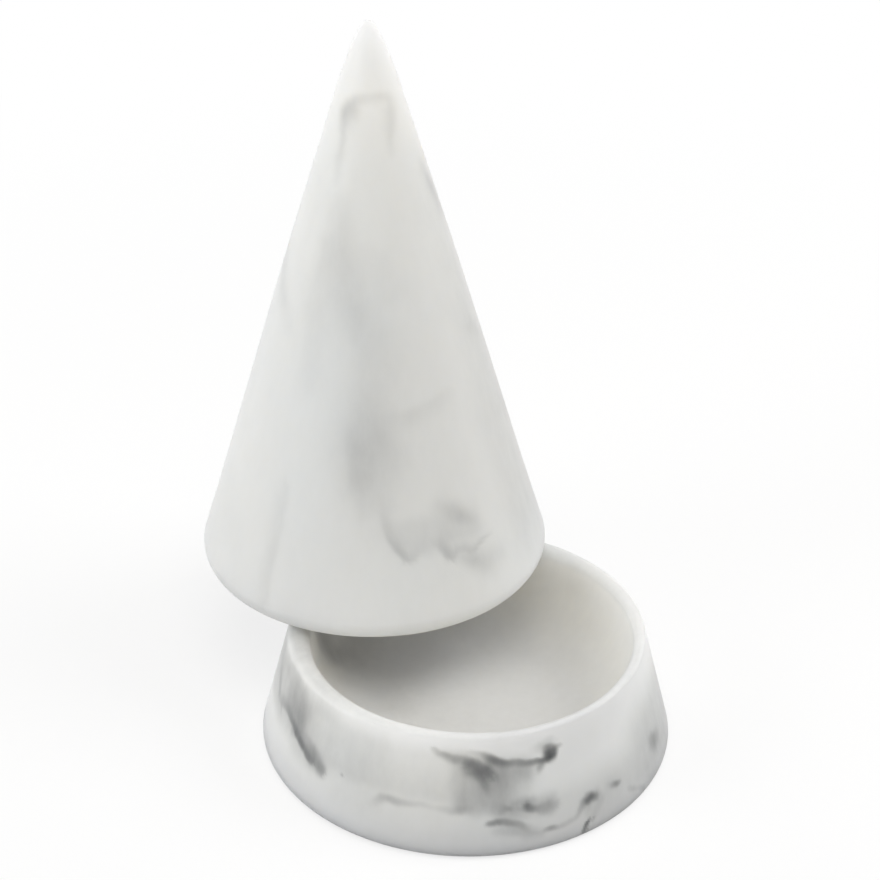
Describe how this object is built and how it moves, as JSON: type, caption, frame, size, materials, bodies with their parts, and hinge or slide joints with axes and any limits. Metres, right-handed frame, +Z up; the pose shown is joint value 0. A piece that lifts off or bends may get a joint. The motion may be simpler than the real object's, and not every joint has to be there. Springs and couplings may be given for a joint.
{
  "type": "jewelry cone",
  "caption": "Marble-effect ring cone that is also the lid of a small tapered bowl; it parks on the bowl's rim and slides across to close it.",
  "frame": {"origin": "centre of the underside of the bowl's rubber pad, at table level, on the bowl's own axis", "axes": "+Z up along the bowl's axis; the cone is parked towards -X and +Y, so the open half of the bowl faces +X and -Y"},
  "size_m": [0.0811, 0.0891, 0.1167],
  "materials": {
    "marble_resin": "satin, white with soft grey veins",
    "rubber_pad": "matte"
  },
  "bodies": {
    "bowl": {"bowl_casting": "marble_resin", "bowl_pad": "rubber_pad"},
    "cone": {"cone_casting": "marble_resin", "cone_pad": "rubber_pad"}
  },
  "joints": [
    {"name": "cone_slide", "type": "slide", "parent": "bowl", "child": "cone", "axis": [0.5563, -0.831, 0], "range_m": [0, 0.02905]}
  ]
}
